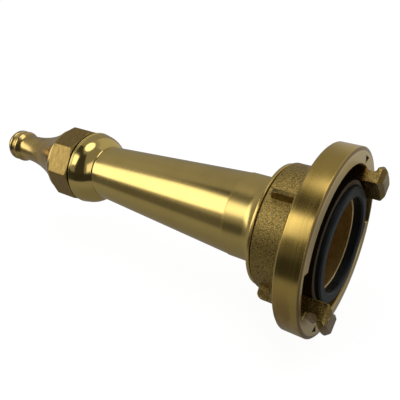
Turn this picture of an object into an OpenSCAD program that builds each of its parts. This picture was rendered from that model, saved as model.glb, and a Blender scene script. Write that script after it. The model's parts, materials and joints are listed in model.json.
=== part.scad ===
// Solid-stream brass branchpipe with a two-claw half-coupling.
// The nozzle axis lies along X: the coupling mouth faces +X and the tip points to -X.
// The origin is the centre of the coupling face, and +Z is up. All sizes are millimetres.

/* [Coupling] */
// Distance between the inner faces of the two claws
claw_spacing = 66; // [60:0.5:66]
// Outside diameter of the claw ring
ring_diameter = 98; // [97:0.5:110]
// Thickness of the claw ring, without its collar
ring_thickness = 12.7; // [12.5:0.1:16]
// Thickness of the inward lip that the mating claws hook behind
lip_thickness = 4.1; // [3:0.1:5]
// Depth of the hollow behind the coupling face
cavity_depth = 10.8; // [10:0.1:11]
// Height of each claw above the coupling face
claw_height = 9.8; // [9:0.1:10.5]
// Width of each claw
claw_width = 18.5; // [14:0.5:19]
// Angle that each entry window takes round the lip
window_angle = 34.5; // [34:0.5:40]
// How far the ring is turned from upright claws, towards +Y
ring_turn = 51; // [0:1:180]

/* [Collar] */
// Outside radius of the cast collar behind the ring
collar_r = 34; // [33.5:0.1:36]
// Distance from the coupling face to the end of the collar
collar_end = 32.1; // [28:0.1:32.3]
// Radius at the top of the four spanner lugs
lug_top_r = 40; // [37:0.5:44]
// Angle from a claw to the nearest spanner lug
lug_angle = 3; // [0:0.5:45]
// Thickness of a spanner lug at its foot
lug_width = 3.2; // [2:0.1:6]
// Distance from the coupling face to the end of the lugs
lug_end = 28.4; // [20:0.1:31]

/* [Barrel] */
// Distance from the coupling face to the front of the barrel flange
flange_front = 33; // [33:0.1:35]
// Radius of the barrel flange
flange_r = 33; // [32:0.1:36]
// Radius of the straight part of the barrel
body_r = 23.4; // [22.5:0.1:25]
// Distance from the coupling face to the start of the long taper
taper_start = 54.5; // [48:0.5:60]
// Distance from the coupling face to the end of the long taper
taper_end = 152; // [140:1:152]
// Radius at the thin end of the long taper
taper_end_r = 16.5; // [16:0.1:18]
// Radius of the boss that holds the nozzle tip
boss_r = 22.9; // [22:0.1:24]
// Distance from the coupling face to the end of the boss
barrel_end = 167; // [166:1:170]
// Wall thickness of the long taper
wall = 2.9; // [2:0.1:3.2]

/* [Nozzle tip] */
// Size across the flats of the octagon
octagon_flats = 44; // [42:0.5:46]
// Length of the octagon
octagon_length = 16.6; // [12:0.1:18]
// Turn of the octagon about the nozzle axis
octagon_turn = 17; // [0:0.5:45]
// Length from the coupling face to the outlet
overall_reach = 242; // [236:1:250]
// Diameter of the water outlet
outlet_d = 12; // [6:0.5:14]
// Radius of the neck at its thinnest
neck_r = 8.7; // [8.2:0.1:10]
// Radius of the beads round the outlet
bead_r = 10.6; // [9.8:0.1:12]
// Outside diameter of the tip's male thread
thread_d = 32.8; // [30:0.1:33]
// Length of the tip's male thread, from the barrel's end face
thread_length = 9; // [6:0.5:9.5]

/* [Seals] */
// How far the rubber face seal stands proud of the coupling face
seal_proud = 2.2; // [0.5:0.1:3]
// Inside radius of the face seal
seal_inner_r = 24.5; // [24:0.1:26]
// Outside radius of the face seal at the coupling face
seal_outer_r = 29.95; // [29:0.05:30]
// Thickness of the gasket under the nozzle tip
gasket_thickness = 1.5; // [1:0.1:2]

/* [Hidden] */
$fn = 128;
running_gap = 0.08;
seat_gap = 0.05;
thread_gap = 0.1;
edge = 0.6;

ring_r = ring_diameter / 2;
claw_inner_r = claw_spacing / 2;
stem_outer_r = claw_inner_r + 6.6;
lip_inner_r = stem_outer_r + 0.6;
hook_outer_r = claw_inner_r + 11;
cavity_r = hook_outer_r + 0.8;
hook_rear = 5.2;
claw_bevel = 2.2;
window_start = asin(claw_width / 2 / lip_inner_r) + 1.2;

journal_r = 29.5;
ring_bore_r = journal_r + running_gap;
insert_lip_r = claw_inner_r - 0.5;
insert_lip_depth = cavity_depth - 0.3;
inlet_r = 23.5;
seal_seat_depth = 7.5;
seal_seat_r = seal_outer_r + seat_gap;
seal_undercut_r = seal_seat_r + 1;
seal_undercut_start = 3.6;
seat_wall_r = 25.2;
seat_wall_top = 2.7;

tail_r = 26.4;
tail_bore_r = 22.5;
tail_front = 16.3;
tail_groove_r = 24.5;
tail_groove_w = 2.4;
tail_groove_x = 19.4;
o_ring_r = 0.95;

thread_r = thread_d / 2;
boss_thread_r = thread_r + thread_gap;
thread_end = barrel_end - thread_length;
gasket_front = barrel_end + seat_gap;
octagon_start = gasket_front + gasket_thickness + seat_gap;
octagon_end = octagon_start + octagon_length;
tip_bore_r = 13.4;
straight_outlet = 27;
neck_thinnest = overall_reach - 14;
neck_sweep_r = 72;

// Points along an arc in an outline of [radius, distance along X].
function arc(centre, r, from, to, steps = 10) = [
    for (i = [0 : steps])
        let (a = from + (to - from) * i / steps)
        centre + r * [cos(a), sin(a)]
];

// Turns a shape built round Z so that its Z axis lies along X and its X axis points up.
module along_nozzle() {
    rotate([0, 90, 0]) rotate([0, 0, 180]) children();
}

// Revolves an outline of [radius, x] round the nozzle axis.
module turned(outline) {
    rotate_extrude() polygon(outline);
}

// ---- claw ring ----

// Outline of the ring, its lip, the hollow behind the lip and the collar.
function ring_outline() =
    let (fillet = 1.6, front_bevel = 0.7, front_bevel_width = 2, rear_bevel = 0.8)
    concat(
        [
            [lip_inner_r, -edge],
            [lip_inner_r + edge, 0],
            [ring_r - front_bevel_width, 0],
            [ring_r, -front_bevel],
            [ring_r, rear_bevel - ring_thickness],
            [ring_r - rear_bevel, -ring_thickness]
        ],
        arc([collar_r + fillet, -ring_thickness - fillet], fillet, 90, 180, 6),
        [
            [collar_r, edge - collar_end],
            [collar_r - edge, -collar_end],
            [ring_bore_r + edge, -collar_end],
            [ring_bore_r, edge - collar_end],
            [ring_bore_r, -cavity_depth],
            [cavity_r, -cavity_depth],
            [cavity_r, -lip_thickness],
            [lip_inner_r, -lip_thickness]
        ]
    );

// Outline of a claw: a stem, an outward hook with a blunt nose, and a root that fills the hollow.
function claw_outline() = [
    [claw_inner_r, -cavity_depth - edge],
    [claw_inner_r, claw_height - 1.6],
    [claw_inner_r + 1.6, claw_height],
    [hook_outer_r - claw_bevel, claw_height],
    [hook_outer_r, claw_height - claw_bevel],
    [hook_outer_r, hook_rear + 1.6],
    [hook_outer_r - 1.4, hook_rear],
    [stem_outer_r + 1, hook_rear],
    [stem_outer_r, hook_rear - 1],
    [stem_outer_r, 1.4],
    [lip_inner_r + 1.5, -0.9],
    [lip_inner_r + 1.5, 1 - lip_thickness],
    [cavity_r + 0.8, 1 - lip_thickness],
    [cavity_r + 0.8, -cavity_depth - edge]
];

// A claw at angle 0: the revolved outline cut to a straight-sided block with bevelled corners.
module claw() {
    half = claw_width / 2;
    corner = 3.4;
    intersection() {
        rotate([0, 0, 180]) turned(claw_outline());
        translate([0, 0, -ring_thickness]) linear_extrude(height = ring_thickness + claw_height + 1) polygon([
            [claw_inner_r - 5, -half],
            [hook_outer_r - corner, -half],
            [hook_outer_r + 0.2, corner - half],
            [hook_outer_r + 0.2, half - corner],
            [hook_outer_r - corner, half],
            [claw_inner_r - 5, half]
        ]);
        rotate([90, 0, 90]) linear_extrude(height = ring_r) polygon([
            [-half, -ring_thickness],
            [half, -ring_thickness],
            [half, claw_height - claw_bevel],
            [half - claw_bevel, claw_height + 0.1],
            [claw_bevel - half, claw_height + 0.1],
            [-half, claw_height - claw_bevel]
        ]);
    }
}

// Entry window for a mating claw, on one side of the claw at angle 0.
module window() {
    rotate([0, 0, -window_start - window_angle])
        rotate_extrude(angle = window_angle)
            translate([lip_inner_r - 2, -lip_thickness - 0.4])
                square([cavity_r - lip_inner_r + 2.3, lip_thickness + 1]);
}

// Shallow triangular witness mark on the coupling face, point inwards.
module witness_mark() {
    depth = 0.8;
    half = 3.6;
    inner = lip_inner_r + 0.8;
    outer = inner + 4.2;
    translate([0, 0, -depth]) linear_extrude(height = depth + 1)
        polygon([[inner, 0], [outer, -half], [outer, half]]);
}

// Spanner lug on the collar at angle 0, thinner at its top and round at its free corner.
module spanner_lug() {
    corner = 3;
    top = lug_width * 0.35;
    foot = lug_width * 0.5;
    side = concat(
        [
            [collar_r - 1.2, -ring_thickness + 0.5],
            [lug_top_r, -ring_thickness + 0.5]
        ],
        arc([lug_top_r - corner, corner - lug_end], corner, 0, -75, 6),
        [[collar_r - 1.2, -lug_end - 0.6]]
    );
    intersection() {
        rotate([90, 0, 0]) linear_extrude(height = lug_width, center = true) polygon(side);
        translate([0, 0, -lug_end - 1]) linear_extrude(height = lug_end) polygon([
            [collar_r - 2, -foot],
            [lug_top_r + 1, -top],
            [lug_top_r + 1, top],
            [collar_r - 2, foot]
        ]);
    }
}

module claw_ring() {
    mark_angle = 19;
    color("#b49a5c") along_nozzle() rotate([0, 0, -ring_turn]) {
        difference() {
            union() {
                difference() {
                    rotate([0, 0, 45]) turned(ring_outline());
                    for (turn = [0, 180]) rotate([0, 0, turn]) window();
                }
                for (turn = [0, 180]) rotate([0, 0, turn]) claw();
                for (turn = [0 : 90 : 270]) rotate([0, 0, turn - lug_angle]) spanner_lug();
            }
            for (turn = [0, 180]) rotate([0, 0, turn + mark_angle]) witness_mark();
        }
    }
}

// ---- parts inside and behind the ring ----

// Sleeve that the claw ring turns on. Its front lip holds the face seal.
module coupling_insert() {
    outline = [
        [seal_seat_r + 0.4, 0],
        [insert_lip_r - edge, 0],
        [insert_lip_r, -edge],
        [insert_lip_r, -insert_lip_depth],
        [journal_r, -insert_lip_depth],
        [journal_r, seat_gap + edge - flange_front],
        [journal_r - edge, seat_gap - flange_front],
        [tail_r + thread_gap, seat_gap - flange_front],
        [tail_r + thread_gap, seat_gap - tail_front],
        [inlet_r, seat_gap - tail_front],
        [inlet_r, -seat_wall_top - 0.4],
        [inlet_r + 0.4, -seat_wall_top],
        [seat_wall_r, -seat_wall_top],
        [seat_wall_r, -seal_seat_depth],
        [seal_undercut_r, -seal_seat_depth],
        [seal_undercut_r, -seal_undercut_start],
        [seal_seat_r, -seal_undercut_start],
        [seal_seat_r, -0.4]
    ];
    color("#c0a45a") along_nozzle() turned(outline);
}

// Rubber seal: a heel held in the insert's undercut and a lip that stands proud.
module face_seal() {
    heel_r = seal_undercut_r - seat_gap;
    heel_end = -seal_seat_depth + seat_gap;
    outline = [
        [seal_inner_r, seal_proud - 0.9],
        [seal_inner_r + 0.7, seal_proud],
        [seal_outer_r - 0.9, seal_proud],
        [seal_outer_r, seal_proud - 0.7],
        [seal_outer_r, -seal_undercut_start - seat_gap],
        [heel_r, -seal_undercut_start - seat_gap],
        [heel_r, heel_end],
        [seat_wall_r + seat_gap, heel_end],
        [seat_wall_r + seat_gap, seat_gap - seat_wall_top],
        [seal_inner_r, seat_gap - seat_wall_top]
    ];
    color("#1d1f22") along_nozzle() turned(outline);
}

// Round-section ring that seals the barrel's threaded tail in the insert.
module insert_o_ring() {
    centre_r = (tail_groove_r + tail_r + thread_gap) / 2;
    color("#202020") along_nozzle()
        rotate_extrude() translate([centre_r, -tail_groove_x]) circle(r = o_ring_r, $fn = 48);
}

// Plastic washer that the end of the collar turns against.
module thrust_washer() {
    thickness = flange_front - collar_end - 2 * thread_gap;
    color("#151515") along_nozzle()
        translate([0, 0, -collar_end - thread_gap - thickness]) difference() {
            cylinder(r = collar_r - 1.6, h = thickness);
            translate([0, 0, -1]) cylinder(r = journal_r + thread_gap, h = thickness + 2);
        }
}

// ---- barrel ----

// Outside of the barrel, from its threaded tail to the boss at its thin end.
function barrel_outside() =
    let (
        rim_w = 2.2,
        rim_round = 1.1,
        flare_r = 8,
        flare_x = flange_front + rim_w + flare_r,
        bead_w = 0.9,
        bead_groove = 0.9,
        dome_r = 14,
        dome_drop = 0.5,
        dome_centre = [boss_r - dome_drop - dome_r, 2.1 - barrel_end],
        fillet_r = 1.6,
        fillet_rise = taper_end_r + fillet_r - dome_centre[0],
        fillet_run = sqrt(pow(dome_r + fillet_r, 2) - pow(fillet_rise, 2)),
        fillet_centre = dome_centre + [fillet_rise, fillet_run],
        meeting = acos(fillet_rise / (dome_r + fillet_r))
    )
    concat(
        [
            [tail_bore_r + edge, -tail_front],
            [tail_r - edge, -tail_front],
            [tail_r, -tail_front - edge],
            [tail_r, tail_groove_w / 2 - tail_groove_x],
            [tail_groove_r, tail_groove_w / 2 - tail_groove_x],
            [tail_groove_r, -tail_groove_w / 2 - tail_groove_x],
            [tail_r, -tail_groove_w / 2 - tail_groove_x],
            [tail_r, -flange_front],
            [flange_r - 0.4, -flange_front],
            [flange_r, -flange_front - 0.4]
        ],
        arc([flange_r - rim_round, -flange_front - rim_w + rim_round], rim_round, 0, -90, 6),
        arc([body_r + flare_r, -flare_x], flare_r, 90, 180, 14),
        [
            [body_r, -taper_start],
            [body_r - 0.25, -taper_start - 0.25]
        ],
        arc(fillet_centre, fillet_r, 180, 180 + meeting, 8),
        arc(dome_centre, dome_r, meeting, 9, 16),
        [
            [boss_r - 0.3, 2 * bead_w + 0.3 - barrel_end],
            [boss_r - bead_groove, 1.5 * bead_w + 0.1 - barrel_end],
            [boss_r, bead_w - barrel_end],
            [boss_r, 0.4 - barrel_end],
            [boss_r - 0.4, -barrel_end]
        ]
    );

// Water way of the barrel, from the tip thread back to the tail.
function barrel_inside() = [
    [boss_thread_r + edge, -barrel_end],
    [boss_thread_r, edge - barrel_end],
    [boss_thread_r, 0.4 - thread_end],
    [taper_end_r - wall, 0.4 - thread_end],
    [taper_end_r - wall, -taper_end],
    [body_r - wall, -taper_start],
    [body_r - wall, -flange_front - 9],
    [tail_bore_r, -flange_front + 4],
    [tail_bore_r, -tail_front - edge]
];

module barrel() {
    color("#c9a545") along_nozzle() turned(concat(barrel_outside(), barrel_inside()));
}

// ---- nozzle tip ----

// Neck of the tip: one long sweep down to the thinnest place, then two beads and the outlet.
function neck_outside() =
    let (
        sweep_start = octagon_end + 2,
        sweep_centre_r = neck_r + neck_sweep_r,
        rise_r = 6,
        rise_angle = 38,
        rear_bead_r = 2.6,
        front_bead_r = 2.3,
        rise_end = [
            neck_r + rise_r * (1 - cos(rise_angle)),
            -neck_thinnest - rise_r * sin(rise_angle)
        ],
        rear_bead = rise_end - rear_bead_r * [cos(rise_angle), sin(rise_angle)],
        front_bead = [bead_r - 0.2 - front_bead_r, front_bead_r + 1.1 - overall_reach]
    )
    concat(
        [for (i = [0 : 16])
            let (x = sweep_start + (neck_thinnest - sweep_start) * i / 16)
            [sweep_centre_r - sqrt(pow(neck_sweep_r, 2) - pow(neck_thinnest - x, 2)), -x]
        ],
        arc([neck_r + rise_r, -neck_thinnest], rise_r, 186, 180 + rise_angle, 6),
        arc(rear_bead, rear_bead_r, rise_angle - 8, -58, 10),
        arc(front_bead, front_bead_r, 58, -50, 10),
        [[bead_r - 2, -overall_reach]]
    );

// Male thread, shoulder and water way of the tip.
function tip_outline() =
    let (relief_r = thread_r - 1, outlet_r = outlet_d / 2)
    concat(
        [
            [tip_bore_r, -thread_end - edge],
            [tip_bore_r + edge, -thread_end],
            [thread_r - edge, -thread_end],
            [thread_r, -thread_end - edge],
            [thread_r, 1.6 - barrel_end],
            [relief_r, 1 - barrel_end],
            [relief_r, -octagon_start],
            [20.6, -octagon_start],
            [20.6, -octagon_end + 1],
            [21.3, -octagon_end + 1],
            [21.3, -octagon_end]
        ],
        neck_outside(),
        [
            [outlet_r + 0.5, -overall_reach],
            [outlet_r, -overall_reach + 0.5],
            [outlet_r, -overall_reach + straight_outlet]
        ]
    );

// Octagon with turned bevels at both ends.
module wrench_octagon() {
    corner_r = octagon_flats / 2 / cos(22.5);
    rear = 0.9;
    front = 1.7;
    intersection() {
        rotate([0, 0, octagon_turn]) rotate([0, 0, 22.5]) translate([0, 0, -octagon_end])
            cylinder(r = corner_r, h = octagon_length, $fn = 8);
        turned([
            [15, -octagon_start],
            [corner_r - 1.5, -octagon_start],
            [corner_r, -octagon_start - rear],
            [corner_r, -octagon_end + front],
            [corner_r - front, -octagon_end],
            [15, -octagon_end]
        ]);
    }
}

module nozzle_tip() {
    color("#b48f3f") along_nozzle() {
        turned(tip_outline());
        wrench_octagon();
    }
}

// Flat ring between the barrel's end face and the shoulder of the tip.
module tip_gasket() {
    color("#161616") along_nozzle()
        translate([0, 0, -gasket_front - gasket_thickness]) difference() {
            cylinder(r = boss_r - 1.2, h = gasket_thickness);
            translate([0, 0, -1]) cylinder(r = thread_r - 0.8, h = gasket_thickness + 2);
        }
}

barrel();
coupling_insert();
insert_o_ring();
face_seal();
thrust_washer();
claw_ring();
nozzle_tip();
tip_gasket();
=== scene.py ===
"""Looks of a brass branchpipe with a claw half-coupling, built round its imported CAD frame.

The nozzle axis is X, the coupling mouth faces +X and +Z is up. Lengths are metres.
Every turned piece is cut out of its CAD solid as an outline and turned again with soft edges.
The claw ring is turned in the same way, and its claws and lugs are fine cast blocks set into it.
"""

import json
import math

import bmesh
import bpy
import numpy as np
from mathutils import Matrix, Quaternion, Vector, noise

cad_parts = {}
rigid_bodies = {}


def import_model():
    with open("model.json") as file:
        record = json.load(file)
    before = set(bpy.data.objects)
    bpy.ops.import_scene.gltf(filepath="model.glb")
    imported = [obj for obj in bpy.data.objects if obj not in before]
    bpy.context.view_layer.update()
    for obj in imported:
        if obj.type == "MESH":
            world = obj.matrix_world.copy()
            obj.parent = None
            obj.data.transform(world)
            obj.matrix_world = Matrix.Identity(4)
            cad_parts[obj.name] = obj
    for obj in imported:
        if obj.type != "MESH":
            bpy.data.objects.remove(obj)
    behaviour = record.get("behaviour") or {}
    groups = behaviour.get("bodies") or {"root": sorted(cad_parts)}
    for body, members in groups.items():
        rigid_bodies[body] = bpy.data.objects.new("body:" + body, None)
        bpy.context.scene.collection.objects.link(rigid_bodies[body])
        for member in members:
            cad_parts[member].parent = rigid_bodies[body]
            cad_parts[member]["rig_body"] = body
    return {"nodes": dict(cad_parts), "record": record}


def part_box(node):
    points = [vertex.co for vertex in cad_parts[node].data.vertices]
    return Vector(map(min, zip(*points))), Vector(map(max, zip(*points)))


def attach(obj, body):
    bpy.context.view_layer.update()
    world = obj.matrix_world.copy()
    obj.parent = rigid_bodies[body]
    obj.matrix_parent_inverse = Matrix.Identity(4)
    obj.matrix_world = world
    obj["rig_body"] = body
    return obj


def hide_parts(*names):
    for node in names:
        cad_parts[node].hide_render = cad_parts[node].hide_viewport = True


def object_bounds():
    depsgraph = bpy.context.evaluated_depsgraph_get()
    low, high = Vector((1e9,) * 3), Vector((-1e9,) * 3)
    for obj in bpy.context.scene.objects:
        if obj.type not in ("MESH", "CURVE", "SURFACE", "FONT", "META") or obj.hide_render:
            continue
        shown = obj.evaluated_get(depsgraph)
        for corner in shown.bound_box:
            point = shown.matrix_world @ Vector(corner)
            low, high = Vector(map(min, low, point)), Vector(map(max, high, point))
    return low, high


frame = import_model()
cad_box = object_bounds()

MM = 0.001
TURN = 2 * math.pi
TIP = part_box("nozzle_tip")
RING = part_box("claw_ring")
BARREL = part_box("barrel")
FLOOR_Z = cad_box[0].z - 0.5 * MM
THREAD_PITCH = frame["record"]["behaviour"]["couplings"][0]["ratio"] * TURN
CUT_ANGLE = 1e-4
THREAD_DEPTH = 0.9 * MM
TURNED_STEPS = 256


# ---- outlines of the turned pieces ----


def section(node, angle):
    """Closed outline of a CAD piece, as rows of (x, radius).

    The cut is a half plane from the axis, at an angle from +Z towards +Y.
    """
    mesh = bmesh.new()
    mesh.from_mesh(frame["nodes"][node].data)
    bmesh.ops.remove_doubles(mesh, verts=mesh.verts, dist=1e-6)
    outward = Vector((0, math.sin(angle), math.cos(angle)))
    across = Vector((0, math.cos(angle), -math.sin(angle)))
    everything = mesh.verts[:] + mesh.edges[:] + mesh.faces[:]
    cut = bmesh.ops.bisect_plane(mesh, geom=everything, dist=1e-9, plane_co=(0, 0, 0), plane_no=across)
    neighbours = {}
    for edge in cut["geom_cut"]:
        if isinstance(edge, bmesh.types.BMEdge) and min(v.co.dot(outward) for v in edge.verts) > 0:
            one, other = edge.verts
            neighbours.setdefault(one, []).append(other)
            neighbours.setdefault(other, []).append(one)
    start = here = max(neighbours, key=lambda v: v.co.dot(outward) + 0.5 * v.co.x)
    previous = None
    loop = []
    while here is not start or not loop:
        loop.append((here.co.x, here.co.dot(outward)))
        following = next(v for v in neighbours[here] if v is not previous)
        previous, here = here, following
    mesh.free()
    return straighten(np.array(loop))


def straighten(loop, tolerance=0.002 * MM):
    """The loop without its double points and the points that lie on a line between their neighbours."""
    gap = np.linalg.norm(loop - np.roll(loop, 1, axis=0), axis=1)
    loop = loop[gap > tolerance]
    kept = []
    count = len(loop)
    for i in range(count):
        before = kept[-1] if kept else loop[i - 1]
        chord = loop[(i + 1) % count] - before
        offset = loop[i] - before
        length = np.linalg.norm(chord)
        away = abs(chord[0] * offset[1] - chord[1] * offset[0]) / max(length, 1e-12)
        if away > tolerance:
            kept.append(loop[i])
    return np.array(kept)


def soften(loop, rounding, sharp=math.radians(24)):
    """Rows of (x, radius, normal x, normal radius): corners get a small radius, and arcs get smooth."""
    area = np.sum(loop[:, 0] * np.roll(loop[:, 1], -1) - np.roll(loop[:, 0], -1) * loop[:, 1])
    side = 1 if area > 0 else -1
    rows = []
    count = len(loop)
    for i in range(count):
        here = loop[i]
        back = here - loop[i - 1]
        ahead = loop[(i + 1) % count] - here
        back_length = np.linalg.norm(back)
        ahead_length = np.linalg.norm(ahead)
        back = back / back_length
        ahead = ahead / ahead_length
        turn = math.acos(max(-1.0, min(1.0, float(back @ ahead))))
        reach = 0.499 * min(back_length, ahead_length)
        if turn > sharp:
            reach = min(reach, rounding * math.tan(turn / 2))
        steps = 1 + math.ceil(turn / math.radians(14))
        for k in range(steps + 1):
            t = k / steps
            first = here - back * reach
            last = here + ahead * reach
            point = (1 - t) ** 2 * first + 2 * t * (1 - t) * here + t * t * last
            along = back * (1 - t) + ahead * t
            along = along / np.linalg.norm(along)
            rows.append((point[0], point[1], side * along[1], -side * along[0]))
    rows = np.array(rows)
    gap = np.linalg.norm(rows[:, :2] - np.roll(rows[:, :2], 1, axis=0), axis=1)
    return rows[gap > 1e-7]


def refine(rows, step, where):
    """Splits the stretches between rows that lie in a zone, where(x, radius), so that none is over step."""
    finer = []
    count = len(rows)
    for i in range(count):
        here = rows[i]
        after = rows[(i + 1) % count]
        finer.append(here)
        middle = (here + after) / 2
        if where(middle[0], middle[1]):
            pieces = math.ceil(np.linalg.norm(after[:2] - here[:2]) / step)
            for k in range(1, pieces):
                finer.append(here + (after - here) * k / pieces)
    return np.array(finer)


def turned(rows, angles, shape=None):
    """Points, faces and normals of an outline turned round X. shape(x, radius, angle) may move points."""
    count = len(angles)
    x = np.repeat(rows[:, 0:1], count, axis=1)
    radius = np.repeat(rows[:, 1:2], count, axis=1)
    new_x, new_radius = shape(x, radius, angles[None, :]) if shape else (x, radius)
    sine = np.sin(angles)[None, :]
    cosine = np.cos(angles)[None, :]
    points = np.stack([new_x, new_radius * sine, new_radius * cosine], axis=2).reshape(-1, 3)
    normals = np.stack([
        np.repeat(rows[:, 2:3], count, axis=1),
        rows[:, 3:4] * sine,
        rows[:, 3:4] * cosine,
    ], axis=2).reshape(-1, 3)
    ring = np.arange(len(rows))[:, None] * count
    spoke = np.arange(count)[None, :]
    next_ring = np.roll(ring, -1, axis=0)
    next_spoke = np.roll(spoke, -1, axis=1)
    quads = np.stack([ring + spoke, next_ring + spoke, next_ring + next_spoke, ring + next_spoke], axis=2)
    quads = quads.reshape(-1, 4)
    face = quads[0]
    facing = np.cross(points[face[1]] - points[face[0]], points[face[2]] - points[face[1]])
    if facing @ normals[face[0]] < 0:
        quads = quads[:, ::-1]
    if shape:
        moved = (np.abs(new_radius - radius) + np.abs(new_x - x)).reshape(-1) > 1e-6
        normals[moved] = vertex_normals(points, quads)[moved]
    return points, quads, normals


def vertex_normals(points, quads):
    """Smooth normals of a mesh of quads."""
    one, two, three, four = (points[quads[:, k]] for k in range(4))
    facing = np.cross(three - one, four - two)
    total = np.zeros_like(points)
    for k in range(4):
        np.add.at(total, quads[:, k], facing)
    return total / np.maximum(np.linalg.norm(total, axis=1), 1e-15)[:, None]


def even_angles(count):
    """Angles spread evenly round the axis."""
    return np.arange(count) * TURN / count


def solid(name, *shells):
    """Object made of closed shells, each a tuple of points, faces and normals."""
    starts = np.cumsum([0] + [len(shell[0]) for shell in shells[:-1]])
    points = np.concatenate([shell[0] for shell in shells])
    faces = np.concatenate([shell[1] + start for shell, start in zip(shells, starts)])
    normals = np.concatenate([shell[2] for shell in shells])
    mesh = bpy.data.meshes.new(name)
    mesh.from_pydata(points.tolist(), [], faces.tolist())
    mesh.shade_smooth()
    mesh.normals_split_custom_set_from_vertices(normals.tolist())
    piece = bpy.data.objects.new(name, mesh)
    bpy.context.scene.collection.objects.link(piece)
    return piece


def stand_for(piece, node, material):
    """The piece takes a CAD node's place, body and material slot."""
    piece.data.materials.clear()
    piece.data.materials.append(material)
    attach(piece, frame["nodes"][node]["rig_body"])
    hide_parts(node)


def thread_wave(x, angle):
    """Depth of a right-hand rounded thread, 0 at its crest and 1 at its root."""
    phase = -x / THREAD_PITCH - angle / TURN
    wave = 0.5 - 0.5 * np.cos(TURN * phase)
    return wave ** 0.8


# ---- turned pieces ----


def barrel_piece():
    """Barrel with its flange, long taper and boss. The boss has its female thread."""
    seat = BARREL[0].x
    bore = thread_radius("barrel", seat + 4 * MM, inner=True)
    inner_end = seat + 9 * MM

    def in_thread(x, radius):
        return x < inner_end and abs(radius - bore) < 0.2 * MM

    def shape(x, radius, angle):
        start = smooth_step(x, seat + 0.4 * MM, seat + 1.8 * MM)
        end = 1 - smooth_step(x, inner_end - 2.2 * MM, inner_end - 0.8 * MM)
        inside = np.abs(radius - bore) < 0.2 * MM
        return x, radius + np.where(inside, THREAD_DEPTH * start * end * (1 - thread_wave(x, angle)), 0)

    rows = refine(soften(section("barrel", CUT_ANGLE), 0.3 * MM), 0.15 * MM, in_thread)
    return solid("barrel_body", turned(rows, even_angles(288), shape))


def thread_radius(node, x, inner):
    """Radius of a CAD piece's inner or outer wall at a distance along X."""
    loop = section(node, CUT_ANGLE)
    found = []
    for i in range(len(loop)):
        one, other = loop[i - 1], loop[i]
        if (one[0] - x) * (other[0] - x) < 0:
            share = (x - one[0]) / (other[0] - one[0])
            found.append(one[1] + share * (other[1] - one[1]))
    return min(found) if inner else max(found)


def smooth_step(value, low, high):
    """0 below low, 1 above high and smooth between them."""
    t = np.clip((value - low) / (high - low), 0, 1)
    return t * t * (3 - 2 * t)


def tip_piece():
    """Screw-on tip: male thread, wrench octagon with turned bevels, long neck and two beads."""
    points = np.array([v.co for v in frame["nodes"]["nozzle_tip"].data.vertices])
    radii = np.hypot(points[:, 1], points[:, 2])
    corner = points[np.argmax(radii)]
    corner_radius = radii.max()
    corner_angle = math.atan2(corner[1], corner[2])
    flat_radius = corner_radius * math.cos(TURN / 16)
    wide = points[radii > flat_radius - 0.5 * MM]
    rear = wide[:, 0].max()
    front = wide[:, 0].min()
    thread_end = TIP[1].x
    thread_start = BARREL[0].x + 1.6 * MM
    crest = thread_radius("nozzle_tip", thread_end - 4 * MM, inner=False)
    blend = 0.25 * MM

    def in_octagon(x, radius):
        return front - 1e-6 <= x <= rear + 1e-6 and radius > flat_radius - 1.2 * MM

    def in_thread(x, radius):
        return x > thread_start - 1.2 * MM and radius > crest - 1.3 * MM

    def shape(x, radius, angle):
        side = (angle - corner_angle) % (TURN / 8) - TURN / 16
        flat = flat_radius / np.cos(side)
        both = 0.5 * (radius + flat - np.sqrt((radius - flat) ** 2 + blend ** 2)) + 0.12 * blend
        zone = (x >= front - 1e-6) & (x <= rear + 1e-6) & (radius > flat_radius - 1.2 * MM)
        cut = np.where(zone, np.minimum(radius, both), radius)
        start = smooth_step(x, thread_start - 0.4 * MM, thread_start + 1.2 * MM)
        end = 1 - smooth_step(x, thread_end - 1.8 * MM, thread_end - 0.6 * MM)
        inside = (x > thread_start - 1.2 * MM) & (np.abs(radius - crest) < 0.15 * MM)
        groove = THREAD_DEPTH * start * end * thread_wave(x, angle)
        return x, np.where(inside, cut - groove, cut)

    rows = soften(section("nozzle_tip", corner_angle + 0.003), 0.5 * MM)
    rows = refine(rows, 0.35 * MM, in_octagon)
    rows = refine(rows, 0.15 * MM, in_thread)
    return solid("nozzle_tip_body", turned(rows, even_angles(400), shape))


def plain_turned_piece(name, node, rounding):
    """A turned piece that only needs its edges softened."""
    return solid(name, turned(soften(section(node, CUT_ANGLE), rounding), even_angles(TURNED_STEPS)))


# ---- claw ring ----


LIP_INNER = 40.2 * MM
WINDOW_OUTER = 45.1 * MM
PLAIN_ANGLE = math.radians(43)
WINDOW_START = math.radians(14.5)
WINDOW_ANGLE = math.radians(34.5)
MARK_ANGLE = math.radians(19)
MARK_INNER = 41.0 * MM
MARK_OUTER = 45.2 * MM
MARK_HALF = 3.6 * MM

# Claws and lugs are shaped in plain millimetres. cast_shell() scales them.
CLAW_INNER = 33.0
CLAW_STEM = 39.6
CLAW_HOOK = 44.0
CLAW_HEIGHT = 9.8
CLAW_BEVEL = 2.2
HOOK_REAR = 5.2
CLAW_HALF = 9.25
CLAW_CORNER = 3.4
LUG_TOP = 40.0
LUG_END = 28.4
LUG_ANGLE = math.radians(3)


def claw_direction():
    """Angle of one claw from +Z towards +Y, found on the CAD ring."""
    points = np.array([v.co for v in frame["nodes"]["claw_ring"].data.vertices])
    tops = points[points[:, 0] > RING[1].x - 0.1 * MM]
    angles = np.arctan2(tops[:, 1], tops[:, 2])
    return 0.5 * math.atan2(np.sin(2 * angles).mean(), np.cos(2 * angles).mean())


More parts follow.
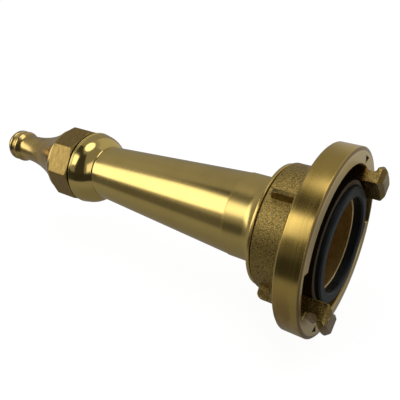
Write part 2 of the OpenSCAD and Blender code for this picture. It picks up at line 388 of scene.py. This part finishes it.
def ring_shell(turn):
    """Ring, lip, hollow and collar in one turned shell, with entry windows and witness marks."""
    windows = [turn + half + WINDOW_START for half in (0, math.pi)]
    marks = [turn + half - MARK_ANGLE for half in (0, math.pi)]
    sliver = math.radians(0.02)
    angles = [even_angles(720)]
    for start in windows:
        for limit in (start, start + WINDOW_ANGLE):
            angles.append(np.array([limit - sliver, limit + sliver]))
    for middle in marks:
        angles.append(middle + np.radians(np.linspace(-5, 5, 70)))
    angles = np.unique(np.round(np.concatenate(angles) % TURN, 6))

    def on_face(x, radius):
        return x > -0.01 * MM and LIP_INNER < radius < MARK_OUTER + 0.5 * MM

    def shape(x, radius, angle):
        new_radius = radius
        lip = (x > -4.6 * MM) & (radius < WINDOW_OUTER)
        for start in windows:
            inside = (angle - start) % TURN < WINDOW_ANGLE
            new_radius = np.where(lip & inside, WINDOW_OUTER, new_radius)
        depth = np.zeros_like(radius)
        for middle in marks:
            out = radius * np.cos(angle - middle)
            aside = np.abs(radius * np.sin(angle - middle))
            limit = MARK_HALF * (out - MARK_INNER) / (MARK_OUTER - MARK_INNER)
            within = np.minimum(MARK_OUTER - out, 0.75 * (limit - aside))
            depth += 0.8 * MM * smooth_step(within, 0, 0.25 * MM)
        face = (x > -0.01 * MM) & (radius > LIP_INNER + 0.6 * MM)
        return np.where(face, x - depth, x), new_radius

    rows = soften(section("claw_ring", turn - PLAIN_ANGLE), 0.3 * MM)
    rows = refine(rows, 0.15 * MM, on_face)
    return turned(rows, angles, shape)


def slab(outline, places, bend):
    """Closed mesh of an outline of (radius, x) repeated at places across its width, all in millimetres."""
    mesh = bmesh.new()
    layers = []
    for aside in places:
        layer = []
        for radius, x in outline:
            reach = math.sqrt(radius * radius - aside * aside) if bend else radius
            layer.append(mesh.verts.new((x, aside, reach)))
        layers.append(layer)
    for here, after in zip(layers, layers[1:]):
        for i in range(len(outline)):
            mesh.faces.new((here[i - 1], here[i], after[i], after[i - 1]))
    mesh.faces.new(layers[0])
    mesh.faces.new(layers[-1][::-1])
    bmesh.ops.recalc_face_normals(mesh, faces=mesh.faces)
    return mesh


def trim(mesh, point, outward):
    """Cuts off what lies outside a plane, and closes the cut."""
    everything = mesh.verts[:] + mesh.edges[:] + mesh.faces[:]
    cut = bmesh.ops.bisect_plane(
        mesh, geom=everything, dist=1e-6, plane_co=point, plane_no=outward, clear_outer=True)
    edges = [item for item in cut["geom_cut"] if isinstance(item, bmesh.types.BMEdge)]
    bmesh.ops.holes_fill(mesh, edges=edges, sides=0)


def cast_shell(mesh, voxel, turn, passes):
    """A block of millimetres as a fine mesh of rounded and grainy cast skin, turned to an angle."""
    bmesh.ops.triangulate(mesh, faces=mesh.faces)
    data = bpy.data.meshes.new("block")
    mesh.to_mesh(data)
    mesh.free()
    source = bpy.data.objects.new("block", data)
    bpy.context.scene.collection.objects.link(source)
    remesh = source.modifiers.new("remesh", "REMESH")
    remesh.mode = "VOXEL"
    remesh.voxel_size = voxel
    depsgraph = bpy.context.evaluated_depsgraph_get()
    made = bpy.data.meshes.new_from_object(source.evaluated_get(depsgraph), depsgraph=depsgraph)
    bpy.data.objects.remove(source)
    points = np.array([v.co for v in made.vertices])
    quads = np.array([f.vertices for f in made.polygons])
    pairs = edge_pairs(made)
    for _ in range(passes):
        points = points + 0.5 * (neighbour_mean(pairs, points) - points)
    points = points + grain(points, vertex_normals(points, quads))
    sine = math.sin(turn)
    cosine = math.cos(turn)
    x, aside, reach = points.T
    points = MM * np.stack([x, reach * sine + aside * cosine, reach * cosine - aside * sine], axis=1)
    return points, quads, vertex_normals(points, quads)


def claw_shell(turn):
    """One claw: a stem from the hollow, and an outward hook with a blunt nose."""
    outline = [
        (CLAW_INNER, -11.4),
        (CLAW_INNER, CLAW_HEIGHT - 1.6),
        (CLAW_INNER + 1.6, CLAW_HEIGHT),
        (CLAW_HOOK - CLAW_BEVEL, CLAW_HEIGHT),
        (CLAW_HOOK, CLAW_HEIGHT - CLAW_BEVEL),
        (CLAW_HOOK, HOOK_REAR + 1.6),
        (CLAW_HOOK - 1.4, HOOK_REAR),
        (CLAW_STEM + 1, HOOK_REAR),
        (CLAW_STEM, HOOK_REAR - 1),
        (CLAW_STEM, 1.4),
        (41.7, -0.9),
        (41.7, -3.1),
        (45.6, -3.1),
        (45.6, -11.4),
    ]
    mesh = slab(outline, np.linspace(-CLAW_HALF, CLAW_HALF, 13), bend=True)
    for side in (-1, 1):
        front = (CLAW_HEIGHT - CLAW_BEVEL, side * CLAW_HALF, 0)
        trim(mesh, front, (CLAW_BEVEL, side * (CLAW_BEVEL + 0.1), 0))
        top = (0, side * CLAW_HALF, CLAW_HOOK - CLAW_CORNER)
        trim(mesh, top, (0, side * (CLAW_CORNER + 0.2), CLAW_CORNER))
    return cast_shell(mesh, 0.24, turn, 3)


def lug_shell(turn):
    """One spanner lug on the collar, thinner at its top and round at its free corner."""
    corner = 3.0
    outline = [(32.8, -12.2), (LUG_TOP, -12.2)]
    for angle in np.radians(np.linspace(0, 75, 7)):
        reach = LUG_TOP - corner + corner * math.cos(angle)
        outline.append((reach, corner - LUG_END - corner * math.sin(angle)))
    outline.append((32.8, -29.0))
    mesh = slab(outline, (-1.6, 1.6), bend=False)
    for v in mesh.verts:
        v.co.y *= 1 - 0.3 * (v.co.z - 32) / 9
    return cast_shell(mesh, 0.2, turn, 2)


def claw_ring_piece():
    """Claw ring: machined ring and lip, with cast claws and spanner lugs."""
    turn = claw_direction()
    claws = [claw_shell(turn + half) for half in (0, math.pi)]
    lugs = [lug_shell(turn + LUG_ANGLE + quarter * TURN / 4) for quarter in range(4)]
    body = ring_shell(turn)
    piece = solid("claw_ring_body", body, *claws, *lugs)
    cast = np.ones(len(piece.data.vertices), np.float32)
    cast[:len(body[0])] = 0
    sunk = np.zeros(len(piece.data.vertices), np.float32)
    sunk[:len(body[0])] = in_mark(body[0], turn)
    for name, values in (("cast", cast), ("sunk", sunk)):
        attribute = piece.data.attributes.new(name, "FLOAT", "POINT")
        attribute.data.foreach_set("value", values)
    return piece


def in_mark(points, turn):
    """1 for points of the ring that lie in a witness mark, below the coupling face."""
    x, y, z = points.T
    radius = np.hypot(y, z)
    aside = (np.arctan2(y, z) - turn + MARK_ANGLE + math.pi / 2) % math.pi - math.pi / 2
    beside = np.abs(aside) < math.radians(6)
    across = (radius > MARK_INNER - 0.3 * MM) & (radius < MARK_OUTER + 0.4 * MM)
    below = (x < -0.2 * MM) & (x > -1.2 * MM)
    return beside & across & below


def edge_pairs(mesh):
    """Vertex numbers at the two ends of every edge."""
    pairs = np.zeros(len(mesh.edges) * 2, np.int32)
    mesh.edges.foreach_get("vertices", pairs)
    return pairs.reshape(-1, 2)


def neighbour_mean(pairs, values):
    """Mean of each vertex's neighbours."""
    total = np.zeros_like(values)
    number = np.zeros(len(values))
    for one, other in ((0, 1), (1, 0)):
        np.add.at(total, pairs[:, one], values[pairs[:, other]])
        np.add.at(number, pairs[:, one], 1)
    number = np.maximum(number, 1)
    return total / (number[:, None] if values.ndim == 2 else number)


def grain(points, normals):
    """Small shifts of points in millimetres along their normals, as on a sand casting."""
    lift = np.zeros(len(points))
    for i, place in enumerate(points):
        place = Vector(place)
        lift[i] = 0.02 * noise.noise(place / 0.9) + 0.06 * noise.noise(place / 3.2)
    return normals * lift[:, None]


# ---- materials ----


class Nodes:
    """Short calls for building a material's nodes."""

    def __init__(self, tree):
        self.tree = tree
        tree.nodes.clear()

    def add(self, kind, **settings):
        node = self.tree.nodes.new(kind)
        for key, value in settings.items():
            setattr(node, key, value)
        return node

    def put(self, value, socket):
        if isinstance(value, bpy.types.NodeSocket):
            self.tree.links.new(value, socket)
        elif isinstance(value, tuple) and len(value) == 3 and socket.type == "RGBA":
            socket.default_value = (*value, 1)
        else:
            socket.default_value = value

    def math(self, operation, one, two=0.0, three=0.0, clamp=False):
        node = self.add("ShaderNodeMath", operation=operation, use_clamp=clamp)
        for value, socket in zip((one, two, three), node.inputs):
            self.put(value, socket)
        return node.outputs[0]

    def step(self, value, low, high, start=0.0, end=1.0):
        """Smooth step of a value from low to high."""
        node = self.add("ShaderNodeMapRange", interpolation_type="SMOOTHSTEP")
        for item, socket in zip((value, low, high, start, end), node.inputs):
            self.put(item, socket)
        return node.outputs[0]

    def band(self, value, low, high, soft):
        """1 between low and high, and 0 outside."""
        rise = self.step(value, low - soft, low + soft)
        fall = self.step(value, high - soft, high + soft)
        return self.math("SUBTRACT", rise, fall, clamp=True)

    def mix(self, share, one, two):
        node = self.add("ShaderNodeMix", data_type="RGBA")
        self.put(share, node.inputs["Factor"])
        self.put(one, node.inputs[6])
        self.put(two, node.inputs[7])
        return node.outputs[2]

    def blend(self, share, one, two):
        """Plain numbers mixed by a share."""
        node = self.add("ShaderNodeMix", data_type="FLOAT")
        self.put(share, node.inputs["Factor"])
        self.put(one, node.inputs[2])
        self.put(two, node.inputs[3])
        return node.outputs[0]

    def noise(self, vector, scale, detail=3.0, roughness=0.55):
        node = self.add("ShaderNodeTexNoise")
        self.put(vector, node.inputs["Vector"])
        self.put(scale, node.inputs["Scale"])
        self.put(detail, node.inputs["Detail"])
        self.put(roughness, node.inputs["Roughness"])
        return node.outputs[0]

    def stretched(self, vector, scale):
        """The vector scaled by a factor for each axis."""
        node = self.add("ShaderNodeVectorMath", operation="MULTIPLY")
        self.put(vector, node.inputs[0])
        node.inputs[1].default_value = scale
        return node.outputs[0]

    def bump(self, height, distance, strength=1.0):
        node = self.add("ShaderNodeBump")
        node.inputs["Strength"].default_value = strength
        node.inputs["Distance"].default_value = distance
        self.put(height, node.inputs["Height"])
        return node.outputs[0]


def surface(name):
    """New material: its nodes, its shader, the place on the piece, x and the distance from the axis."""
    material = bpy.data.materials.new(name)
    material.use_nodes = True
    nodes = Nodes(material.node_tree)
    shader = nodes.add("ShaderNodeBsdfPrincipled")
    output = nodes.add("ShaderNodeOutputMaterial")
    nodes.put(shader.outputs[0], output.inputs["Surface"])
    place = nodes.add("ShaderNodeTexCoord").outputs["Object"]
    axes = nodes.add("ShaderNodeSeparateXYZ")
    nodes.put(place, axes.inputs[0])
    x, y, z = axes.outputs
    squares = nodes.math("ADD", nodes.math("MULTIPLY", y, y), nodes.math("MULTIPLY", z, z))
    radius = nodes.math("SQRT", squares)
    return material, nodes, shader, place, x, radius


def turning_lines(nodes, place, scale):
    """Fine rings left by a lathe tool: noise that changes fast along X and slowly round the axis."""
    fine = nodes.noise(nodes.stretched(place, (scale, 14, 14)), 1.0, 2.0)
    coarse = nodes.noise(nodes.stretched(place, (scale / 6, 9, 9)), 1.0, 2.0)
    return nodes.blend(0.4, fine, coarse)


def edge_light(nodes, low, high):
    """1 on edges that stick out, where handling keeps the metal bright."""
    sharpness = nodes.add("ShaderNodeNewGeometry").outputs["Pointiness"]
    return nodes.step(sharpness, low, high)


def brass(nodes, shader, colour, roughness, height, distance, turned_share=0.0):
    """Joins colour, roughness and bump to a metal shader. turned_share stretches its highlights along X."""
    nodes.put(1.0, shader.inputs["Metallic"])
    nodes.put(colour, shader.inputs["Base Color"])
    nodes.put(roughness, shader.inputs["Roughness"])
    nodes.put(nodes.bump(height, distance), shader.inputs["Normal"])
    if turned_share:
        tangent = nodes.add("ShaderNodeTangent", direction_type="RADIAL", axis="X")
        nodes.put(tangent.outputs[0], shader.inputs["Tangent"])
        nodes.put(turned_share, shader.inputs["Anisotropic"])


GOLD = (0.86, 0.64, 0.21)
GOLD_BROWN = (0.68, 0.47, 0.15)
CAST_GOLD = (0.72, 0.51, 0.15)
CAST_DARK = (0.20, 0.135, 0.042)
PALE_BRASS = (0.80, 0.67, 0.36)
TIP_GOLD = (0.80, 0.56, 0.18)
TIP_BROWN = (0.44, 0.29, 0.11)


def barrel_material():
    """Satin turned brass, more polished on the boss, with a light tarnish."""
    material, nodes, shader, place, x, radius = surface("barrel_brass")
    lines = turning_lines(nodes, place, 4200)
    cloud = nodes.noise(place, 38, 4.0)
    boss = nodes.step(x, BARREL[0].x + 21 * MM, BARREL[0].x + 15 * MM)
    share = nodes.step(cloud, 0.40, 0.72, 0.0, 0.4)
    colour = nodes.mix(share, GOLD, GOLD_BROWN)
    satin = nodes.step(lines, 0.3, 0.7, 0.14, 0.20)
    straight = nodes.step(x, -55.2 * MM, -54.4 * MM)
    satin = nodes.blend(straight, satin, 0.25)
    roughness = nodes.blend(boss, satin, nodes.step(cloud, 0.3, 0.7, 0.08, 0.14))
    bore = nodes.math("ADD", 22.9 * MM, nodes.math("MULTIPLY", nodes.math("ADD", x, 33 * MM), 0.066))
    inside = nodes.math("LESS_THAN", radius, bore)
    colour = nodes.mix(inside, colour, (0.90, 0.72, 0.38))
    roughness = nodes.blend(inside, roughness, 0.62)
    brass(nodes, shader, colour, roughness, lines, 0.004 * MM, nodes.blend(inside, 0.25, 0.9))
    return material


def insert_material():
    """Turned brass: very dark brown on its lip, partly painted shade and partly dull tarnish, still golden
    in the bore.
    """
    material, nodes, shader, place, x, radius = surface("insert_brass")
    lines = turning_lines(nodes, place, 3200)
    cloud = nodes.noise(place, 120, 4.0)
    lip = nodes.step(radius, 29.0 * MM, 29.6 * MM)
    colour = nodes.mix(nodes.step(cloud, 0.35, 0.7, 0.0, 0.4), (0.90, 0.72, 0.38), (0.66, 0.48, 0.20))
    # Partly painted shade: the lip sits deep between the claw ring and the seal, and is coloured very dark
    # brown.
    colour = nodes.mix(lip, colour, (0.14, 0.11, 0.07))
    roughness = nodes.step(cloud, 0.3, 0.7, 0.55, 0.65)
    brass(nodes, shader, colour, roughness, lines, 0.05 * MM, 0.9)
    return material


def ring_material():
    """Machined brass on rim and face, and grainy brown cast brass on collar, lugs and claws."""
    material, nodes, shader, place, x, radius = surface("ring_brass")
    blocks = nodes.add("ShaderNodeAttribute", attribute_name="cast").outputs["Fac"]
    axes = nodes.add("ShaderNodeSeparateXYZ")
    nodes.put(place, axes.inputs[0])
    height_up = axes.outputs[2]
    inside = nodes.step(radius, 41.2 * MM, 40.9 * MM)
    collar = nodes.math("MULTIPLY", inside, nodes.step(x, -13.6 * MM, -14.2 * MM))
    deep = nodes.step(x, -0.5 * MM, -0.9 * MM)
    hollow = nodes.math("MULTIPLY", deep, nodes.step(radius, 45.4 * MM, 45.2 * MM))
    cast = nodes.math("MAXIMUM", blocks, nodes.math("MAXIMUM", collar, hollow))
    lines = turning_lines(nodes, place, 3600)
    cloud = nodes.noise(place, 45, 4.0)
    speckle = nodes.noise(place, 1500, 4.0, 0.7)
    pits = nodes.noise(place, 3400, 3.0, 0.7)
    face = nodes.step(x, -0.30 * MM, -0.12 * MM)
    machined = nodes.mix(nodes.step(cloud, 0.40, 0.75, 0.0, 0.4), (0.72, 0.50, 0.135), (0.56, 0.37, 0.095))
    # Darker brown patches on the ring, more of them towards the bottom.
    lower_brown_patches = nodes.step(nodes.noise(nodes.stretched(place, (90, 22, 22)), 1.0, 4.0), 0.38, 0.58, 0.0, 0.85)
    lower_brown_patches = nodes.math("MULTIPLY", lower_brown_patches, nodes.step(height_up, 8 * MM, -25 * MM))
    machined = nodes.mix(lower_brown_patches, machined, (0.44, 0.25, 0.08))
    machined = nodes.mix(face, machined, (0.78, 0.60, 0.27))
    # Painted dark reflection: the outer bevel next to the front face is coloured dark brown.
    bevel_dark_reflection = nodes.band(radius, 47.1 * MM, 48.7 * MM, 0.25 * MM)
    bevel_dark_reflection = nodes.math("MULTIPLY", bevel_dark_reflection, nodes.step(x, -1.1 * MM, -0.8 * MM))
    machined = nodes.mix(bevel_dark_reflection, machined, (0.30, 0.19, 0.07))
    mark = nodes.add("ShaderNodeAttribute", attribute_name="sunk").outputs["Fac"]
    rough_skin = nodes.mix(nodes.step(speckle, 0.36, 0.66), CAST_DARK, CAST_GOLD)
    worn = nodes.mix(nodes.step(cloud, 0.38, 0.68), (0.18, 0.12, 0.038), (0.36, 0.25, 0.08))
    rough_skin = nodes.mix(nodes.math("MULTIPLY", blocks, 0.75), rough_skin, worn)
    rough_skin = nodes.mix(edge_light(nodes, 0.53, 0.60), rough_skin, (0.80, 0.60, 0.24))
    colour = nodes.mix(cast, machined, rough_skin)
    colour = nodes.mix(mark, colour, (0.012, 0.010, 0.008))
    satin = nodes.step(lines, 0.3, 0.7, 0.16, 0.24)
    satin = nodes.blend(face, satin, 0.30)
    matte = nodes.step(speckle, 0.35, 0.65, 0.50, 0.36)
    matte = nodes.blend(blocks, matte, nodes.step(speckle, 0.35, 0.65, 0.32, 0.24))
    roughness = nodes.blend(cast, satin, matte)
    grainy = nodes.blend(0.4, speckle, pits)
    grainy = nodes.math("MULTIPLY", grainy, nodes.blend(blocks, 1.0, 0.45))
    height = nodes.blend(cast, nodes.math("MULTIPLY", lines, 0.03), grainy)
    brass(nodes, shader, colour, roughness, height, 0.16 * MM)
    nodes.put(nodes.math("SUBTRACT", 1.0, mark), shader.inputs["Metallic"])
    return material


def tip_material():
    """Browner turned brass, with milled grain on the flats of the octagon."""
    material, nodes, shader, place, x, radius = surface("tip_brass")
    lines = turning_lines(nodes, place, 3000)
    cloud = nodes.noise(place, 70, 4.0)
    octagon = nodes.band(x, BARREL[0].x - 18.4 * MM, BARREL[0].x - 1.2 * MM, 0.2 * MM)
    milled = nodes.noise(nodes.stretched(place, (2400, 260, 260)), 1.0, 3.0, 0.7)
    colour = nodes.mix(nodes.step(cloud, 0.35, 0.70, 0.1, 0.8), TIP_GOLD, TIP_BROWN)
    grained = nodes.mix(nodes.step(milled, 0.3, 0.7), (0.30, 0.20, 0.06), (0.50, 0.34, 0.10))
    colour = nodes.mix(octagon, colour, grained)
    colour = nodes.mix(edge_light(nodes, 0.52, 0.58), colour, PALE_BRASS)
    satin = nodes.step(lines, 0.3, 0.7, 0.18, 0.28)
    roughness = nodes.blend(octagon, satin, nodes.step(milled, 0.3, 0.7, 0.40, 0.30))
    height = nodes.blend(octagon, nodes.math("MULTIPLY", lines, 0.2), milled)
    brass(nodes, shader, colour, roughness, height, 0.04 * MM, 0.2)
    return material


def rubber_material(name, colour, scuffed, roughness):
    """Moulded rubber or plastic: dark, with fine grain and paler scuffs."""
    material, nodes, shader, place, _, _ = surface(name)
    cloud = nodes.noise(place, 90, 4.0)
    skin = nodes.noise(place, 1500, 3.0)
    nodes.put(nodes.mix(nodes.step(cloud, 0.4, 0.75), colour, scuffed), shader.inputs["Base Color"])
    nodes.put(nodes.step(skin, 0.3, 0.7, roughness - 0.06, roughness + 0.08), shader.inputs["Roughness"])
    nodes.put(nodes.bump(nodes.blend(0.5, cloud, skin), 0.04 * MM), shader.inputs["Normal"])
    nodes.put(0.3, shader.inputs["Specular IOR Level"])
    return material


# ---- studio ----


def studio_world():
    """White to the camera. Reflections see soft boxes, a dim room and a pale floor."""
    world = bpy.data.worlds.new("studio")
    bpy.context.scene.world = world
    world.use_nodes = True
    nodes = Nodes(world.node_tree)
    axes = nodes.add("ShaderNodeSeparateXYZ")
    nodes.put(nodes.add("ShaderNodeTexCoord").outputs["Generated"], axes.inputs[0])
    x, y, z = axes.outputs
    degrees = 180 / math.pi
    azimuth = nodes.math("MULTIPLY", nodes.math("ARCTAN2", x, nodes.math("MULTIPLY", y, -1.0)), degrees)
    elevation = nodes.math("MULTIPLY", nodes.math("ARCSINE", z), degrees)

    def patch(below, level, centre, half_width, low, high, soft=3.0, soft_top=None, slope=0.0):
        """A lit or dark area of the room: azimuth centre and half width, and elevation range, in degrees."""
        aside = nodes.math("WRAP", nodes.math("SUBTRACT", azimuth, centre), 180.0, -180.0)
        width = nodes.step(nodes.math("ABSOLUTE", aside), half_width - soft, half_width + soft, 1.0, 0.0)
        height = nodes.math("SUBTRACT", elevation, nodes.math("MULTIPLY", aside, slope))
        top = soft if soft_top is None else soft_top
        rise = nodes.step(height, low - soft, low + soft)
        fall = nodes.step(elevation, high - top, high + top, 1.0, 0.0)
        share = nodes.math("MULTIPLY", width, nodes.math("MULTIPLY", rise, fall))
        return nodes.blend(share, below, level)

    light = nodes.step(elevation, -60.0, -30.0, 0.18, 0.24)
    light = patch(light, 0.27, -145, 60, 15, 80, soft=15)
    light = patch(light, 0.14, 170, 14, -33, -26, soft=2)
    light = patch(light, 0.44, 158, 40, -24, 60, soft=2.5, soft_top=12)
    light = patch(light, 0.30, -85, 24, 20, 52, soft=8)
    light = patch(light, 0.04, -46, 34, 50, 67, soft=4)
    light = patch(light, 0.04, 4, 26, -22, 62, soft=5)
    light = patch(light, 0.10, -45, 24, -22, 2, soft=4)
    light = patch(light, 0.03, 26, 56, -23, 1, soft=3)
    light = patch(light, 1.80, -43, 21, 9, 46, soft=2.5, soft_top=3, slope=0.7)
    light = patch(light, 1.20, 62, 20, 3, 27, soft=4)
    light = nodes.blend(nodes.step(elevation, 70.5, 75.0), light, 1.9)
    lit = nodes.add("ShaderNodeBackground")
    nodes.put(light, lit.inputs["Strength"])
    white = nodes.add("ShaderNodeBackground")
    nodes.put(1.0, white.inputs["Strength"])
    for background in (lit, white):
        background.inputs["Color"].default_value = (1, 1, 1, 1)
    choice = nodes.add("ShaderNodeMixShader")
    nodes.put(nodes.add("ShaderNodeLightPath").outputs["Is Camera Ray"], choice.inputs[0])
    nodes.put(lit.outputs[0], choice.inputs[1])
    nodes.put(white.outputs[0], choice.inputs[2])
    nodes.put(choice.outputs[0], nodes.add("ShaderNodeOutputWorld").inputs["Surface"])


def floor():
    """Plain white floor with a faint shadow. Polished metal sees the room's floor instead."""
    half = 4.0
    mesh = bpy.data.meshes.new("floor")
    corners = [(x, y, FLOOR_Z) for x, y in ((-half, -half), (half, -half), (half, half), (-half, half))]
    mesh.from_pydata(corners, [], [(0, 1, 2, 3)])
    plane = bpy.data.objects.new("floor", mesh)
    bpy.context.scene.collection.objects.link(plane)
    material = bpy.data.materials.new("floor_white")
    material.use_nodes = True
    nodes = Nodes(material.node_tree)
    glow = nodes.add("ShaderNodeEmission")
    nodes.put(0.94, glow.inputs["Strength"])
    matte = nodes.add("ShaderNodeBsdfDiffuse")
    nodes.put((0.16, 0.16, 0.16), matte.inputs["Color"])
    both = nodes.add("ShaderNodeAddShader")
    nodes.put(glow.outputs[0], both.inputs[0])
    nodes.put(matte.outputs[0], both.inputs[1])
    nodes.put(both.outputs[0], nodes.add("ShaderNodeOutputMaterial").inputs["Surface"])
    mesh.materials.append(material)
    plane.visible_glossy = False
    plane.visible_diffuse = False


def camera():
    """Camera in front of the coupling, looking down on it from its left."""
    azimuth = math.radians(34.54)
    elevation = math.radians(27.73)
    roll = math.radians(-0.41)
    distance = 0.2984
    lens = 47.05
    low, high = cad_box
    along = 0.6291
    height = 0.0003
    target = Vector((low.x + along * (high.x - low.x), 0, height))
    back = Vector((
        math.sin(azimuth) * math.cos(elevation),
        -math.cos(azimuth) * math.cos(elevation),
        math.sin(elevation),
    ))
    data = bpy.data.cameras.new("camera")
    data.lens = lens
    data.sensor_width = 36.0
    data.clip_start = 0.01
    data.clip_end = 20.0
    view = bpy.data.objects.new("camera", data)
    bpy.context.scene.collection.objects.link(view)
    view.location = target + back * distance
    view.rotation_mode = "QUATERNION"
    view.rotation_quaternion = (-back).to_track_quat("-Z", "Y") @ Quaternion((0, 0, 1), roll)
    bpy.context.scene.camera = view
    bpy.context.scene.view_settings.view_transform = "Standard"


rubber = rubber_material("seal_rubber", (0.008, 0.010, 0.012), (0.020, 0.024, 0.027), 0.45)
plastic = rubber_material("washer_plastic", (0.010, 0.010, 0.010), (0.022, 0.021, 0.020), 0.5)

stand_for(barrel_piece(), "barrel", barrel_material())
stand_for(tip_piece(), "nozzle_tip", tip_material())
stand_for(claw_ring_piece(), "claw_ring", ring_material())
insert = plain_turned_piece("insert_body", "coupling_insert", 0.25 * MM)
stand_for(insert, "coupling_insert", insert_material())
stand_for(plain_turned_piece("face_seal_body", "face_seal", 0.4 * MM), "face_seal", rubber)
stand_for(plain_turned_piece("o_ring_body", "insert_o_ring", 0.3 * MM), "insert_o_ring", rubber)
stand_for(plain_turned_piece("thrust_washer_body", "thrust_washer", 0.25 * MM), "thrust_washer", plastic)
stand_for(plain_turned_piece("tip_gasket_body", "tip_gasket", 0.3 * MM), "tip_gasket", rubber)

studio_world()
floor()
camera()
